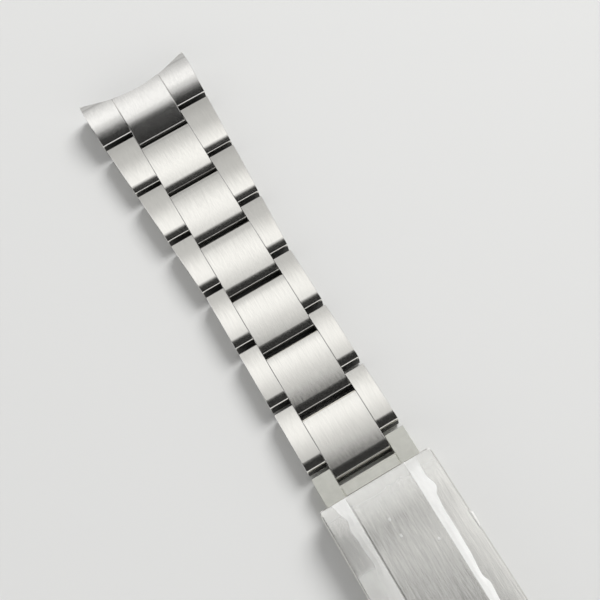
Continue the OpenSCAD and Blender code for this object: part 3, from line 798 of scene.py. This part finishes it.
# The air bubbles under the middle strip's film, each longer than wide
BUBBLES = [(5.8, -1.1), (8.4, -0.9), (11.3, 3.2)]
BUBBLE_R = 0.2
BUBBLE_H = 0.06
BUBBLE_STRETCH = 1.3
BUBBLE_MILK = 0.6
film_material = bpy.data.materials.new("clear film")
film_material.use_nodes = True
film_nodes, film_links = film_material.node_tree.nodes, film_material.node_tree.links
film_shader = film_nodes["Principled BSDF"]
film_shader.inputs["Base Color"].default_value = (0.90, 0.90, 0.88, 1)
film_shader.inputs["Roughness"].default_value = 0.3
milk = film_nodes.new("ShaderNodeAttribute")
milk.attribute_name = "milk"
wrinkles = noise(film_material, film_nodes.new("ShaderNodeTexCoord"), (250, 700, 700), detail=3.0)
film_cover = film_nodes.new("ShaderNodeMath")
film_cover.operation = "MULTIPLY_ADD"
film_links.new(milk.outputs["Fac"], film_cover.inputs[0])
film_links.new(ranged(film_material, wrinkles, 0.88, 1.03, low=0.35, high=0.65), film_cover.inputs[1])
film_cover.inputs[2].default_value = FILM_CLEAR
film_links.new(film_cover.outputs["Value"], film_shader.inputs["Alpha"])


# The value of a table at t, eased from one of its points to the next
def between(points, t):
    for (t0, v0), (t1, v1) in zip(points, points[1:]):
        if t <= t1:
            s = (t - t0) / (t1 - t0)
            s = s * s * (3 - 2 * s)
            return v0 + (v1 - v0) * s
    return points[-1][1]


def cover_top(x):
    swell_end = swell_x + SWELL_R * math.sin(math.radians(SWELL_SLOPE))
    flat_start = swell_end + SWELL_FOOT_R * math.sin(math.radians(SWELL_SLOPE))
    flat_z = over_cover(cover_low.x, cover_high.x, 0)[3]
    if x < swell_end:
        return cover_high.z - SWELL_R + math.sqrt(SWELL_R ** 2 - (x - swell_x) ** 2)
    if x < flat_start:
        return flat_z + SWELL_FOOT_R - math.sqrt(SWELL_FOOT_R ** 2 - (flat_start - x) ** 2)
    return flat_z - FAR_BEND_R + math.sqrt(FAR_BEND_R ** 2 - max(x - far_x, 0) ** 2)


film_low, film_high = corners("cover_film")
groove_near, groove_far = STRIP_HALF + BAND_START, STRIP_HALF + GROOVE_W


# The film's lines at a distance behind the mouth, from its left edge to its right one, each with its place
# from the middle, its height over the middle strip and how milky it is
def film_lines(behind):
    right, left = between(RIGHT_BAND, behind), between(LEFT_BAND, behind)
    mouth_milk, right_milk, left_milk, edge_milk = (
        between(table, behind) for table in (MOUTH_MILK, RIGHT_MILK, LEFT_MILK, EDGE_MILK))
    over_air = FILM_BRIDGE - FILM_LIFT
    lines = [
        (film_low.y, -SIDE_DROP, edge_milk),
        ((film_low.y - left) / 2, -SIDE_DROP, edge_milk),
        (-left - BAND_FADE, -SIDE_DROP, edge_milk),
        (-left, -SIDE_DROP, left_milk),
        ((-left - groove_far) / 2, over_air, left_milk),
        (-groove_far, 0, left_milk),
        (BAND_RISE - groove_far, 0, 0),
        (-FILM_MIDDLE, 0, 0),
        (0, 0, 0),
        (FILM_MIDDLE, 0, 0),
        (groove_near - BAND_RISE, 0, 0),
        (groove_near, 0, right_milk),
        ((right + groove_near) / 2, over_air, right_milk),
        (right, -SIDE_DROP, right_milk),
        (right + BAND_FADE, -SIDE_DROP, 0),
        (film_high.y, -SIDE_DROP, 0)]
    return [(y, FILM_LIFT + lift, max(amount, mouth_milk)) for y, lift, amount in lines]


def new_grid(columns, lines):
    bpy.ops.object.select_all(action="DESELECT")
    bpy.ops.mesh.primitive_grid_add(x_subdivisions=columns, y_subdivisions=lines, size=1)
    return bpy.context.object


def milked(sheet, amounts):
    milk = sheet.data.attributes.new("milk", "FLOAT", "POINT")
    for index, amount in enumerate(amounts):
        milk.data[index].value = amount
    sheet.data.materials.append(film_material)


def thickened(sheet, offset):
    only(sheet)
    step = sheet.modifiers.new("film thickness", "SOLIDIFY")
    step.thickness = FILM_T
    step.offset = offset
    bpy.ops.object.modifier_apply(modifier=step.name)


film = new_grid(FILM_COLUMNS, FILM_LINES - 1)
film.name = "film_sheet"
amounts = []
for vertex in film.data.vertices:
    x = film_low.x + (vertex.co.x + 0.5) * (film_high.x - film_low.x)
    line = round((vertex.co.y + 0.5) * (FILM_LINES - 1))
    y, lift, amount = film_lines(x - cover_low.x)[line]
    vertex.co = (x, y, cover_top(x) + lift)
    amounts.append(amount)
milked(film, amounts)

flap = new_grid(FLAP_COLUMNS, FLAP_LINES)
inner_start, inner_end, outer_end, outer_start = (Vector(corner) for corner in FLAP)
amounts = []
for vertex in flap.data.vertices:
    along, out = vertex.co.x + 0.5, vertex.co.y + 0.5
    behind, y = inner_start.lerp(inner_end, along).lerp(outer_start.lerp(outer_end, along), out)
    lift = (FILM_BRIDGE - SIDE_DROP + FLAP_RISE * math.sin(math.pi * out)
            + FLAP_WAVE * math.sin(FLAP_WAVES * along) * out - FLAP_DROOP * out ** 4)
    vertex.co = (cover_low.x + behind, y, cover_top(cover_low.x + behind) + lift)
    amounts.append(between(FLAP_MILK, out))
milked(flap, amounts)

sheets = [flap]
for behind, y in BUBBLES:
    x = cover_low.x + behind
    bpy.ops.object.select_all(action="DESELECT")
    bpy.ops.mesh.primitive_uv_sphere_add(segments=16, ring_count=8, radius=BUBBLE_R,
                                         location=(x, y, cover_top(x) + FILM_LIFT))
    bubble = bpy.context.object
    bubble.scale = (BUBBLE_STRETCH, 1, BUBBLE_H / BUBBLE_R)
    bpy.ops.object.transform_apply(location=True, rotation=True, scale=True)
    milked(bubble, [BUBBLE_MILK] * len(bubble.data.vertices))
    sheets.append(bubble)
thickened(film, 1)
thickened(flap, -1)
only(film)
for sheet in sheets:
    sheet.select_set(True)
bpy.ops.object.join()
to_real_size(film)
ridden(film, "cover", "cover_film")

# Studio
# A plain pale floor, one broad soft lamp from the upper right, and a sky that is bright on the end link's
# side and dark towards the clasp, which the crowned steel mirrors.
FLOOR_SIZE = 4
floor_material = bpy.data.materials.new("pale floor")
floor_material.use_nodes = True
floor_shader = floor_material.node_tree.nodes["Principled BSDF"]
floor_shader.inputs["Base Color"].default_value = (0.72, 0.72, 0.71, 1)
floor_shader.inputs["Roughness"].default_value = 0.9
bpy.ops.object.select_all(action="DESELECT")
bpy.ops.mesh.primitive_plane_add(size=FLOOR_SIZE, location=(0, 0, 0))
floor = bpy.context.object
floor.name = "floor"
floor.data.materials.append(floor_material)

LAMP_AT = (-0.425, 0.714, 0.85)
LAMP_AIM = Vector((-0.02, 0, 0))
LAMP_SIZE = 0.68
LAMP_POWER = 11.3
bpy.ops.object.light_add(type="AREA", location=LAMP_AT)
lamp = bpy.context.object
lamp.data.shape = "DISK"
lamp.data.size = LAMP_SIZE
lamp.data.energy = LAMP_POWER
lamp.rotation_euler = (LAMP_AIM - lamp.location).to_track_quat("-Z", "Y").to_euler()
lamp.visible_glossy = False

# The sky's brightness by the angle in degrees from straight up, negative towards the end link, in bands that
# run askew to the bracelet's width
SKY = [(-90, 0.37), (-60, 0.5), (-46, 0.34), (-39, 0.53), (-34, 0.43), (-26, 0.93), (-19, 0.98), (-13, 0.58),
       (-6.8, 0.59), (-4.5, 0.24), (-1.5, 0.09), (6, 0.02), (45, 0.02), (58, 0.85), (90, 0.85)]
SKY_STRENGTH = 1.3
BAND_SKEW = -0.456
sky = bpy.data.worlds.new("soft sky")
bpy.context.scene.world = sky
sky.use_nodes = True
sky_nodes, sky_links = sky.node_tree.nodes, sky.node_tree.links
direction = sky_nodes.new("ShaderNodeTexCoord")
split = sky_nodes.new("ShaderNodeSeparateXYZ")
sky_links.new(direction.outputs["Generated"], split.inputs["Vector"])
across = sky_nodes.new("ShaderNodeMath")
across.operation = "MULTIPLY_ADD"
sky_links.new(split.outputs["Y"], across.inputs[0])
across.inputs[1].default_value = BAND_SKEW
sky_links.new(split.outputs["X"], across.inputs[2])
angle = sky_nodes.new("ShaderNodeMath")
angle.operation = "ARCTAN2"
sky_links.new(across.outputs["Value"], angle.inputs[0])
sky_links.new(split.outputs["Z"], angle.inputs[1])
spread = sky_nodes.new("ShaderNodeMapRange")
spread.inputs["From Min"].default_value = -math.pi / 2
spread.inputs["From Max"].default_value = math.pi / 2
sky_links.new(angle.outputs["Value"], spread.inputs["Value"])
ramp = sky_nodes.new("ShaderNodeValToRGB")
stops = ramp.color_ramp.elements
for index, (degrees, light) in enumerate(SKY):
    place = (degrees + 90) / 180
    stop = stops[index] if index < 2 else stops.new(place)
    stop.position = place
    stop.color = (light, light, light, 1)
sky_links.new(spread.outputs["Result"], ramp.inputs["Fac"])
# Seen directly, beyond the floor's edge, the sky is plain and pale
plain = sky_nodes.new("ShaderNodeMix")
plain.data_type = "RGBA"
sky_links.new(sky_nodes.new("ShaderNodeLightPath").outputs["Is Camera Ray"], plain.inputs["Factor"])
sky_links.new(ramp.outputs["Color"], plain.inputs["A"])
plain.inputs["B"].default_value = (0.6, 0.6, 0.59, 1)
sky_links.new(plain.outputs["Result"], sky_nodes["Background"].inputs["Color"])
sky_nodes["Background"].inputs["Strength"].default_value = SKY_STRENGTH

# The camera has the place, direction, turn and lens that fit the photograph's view of the links
CAMERA_AT = (0.01874, -0.00763, 0.13497)
CAMERA_VIEW = Vector((-0.3909, 0.0851, -0.9165))
CAMERA_TURN = math.radians(-18.75)
CAMERA_LENS = 57.01
bpy.ops.object.camera_add(location=CAMERA_AT)
camera = bpy.context.object
camera.data.sensor_width = 36
camera.data.lens = CAMERA_LENS
camera.data.clip_start = 0.01
camera.data.dof.use_dof = False
camera.rotation_mode = "QUATERNION"
camera.rotation_quaternion = CAMERA_VIEW.to_track_quat("-Z", "Y") @ Quaternion((0, 0, 1), CAMERA_TURN)
bpy.context.scene.camera = camera
bpy.context.scene.view_settings.view_transform = "Standard"
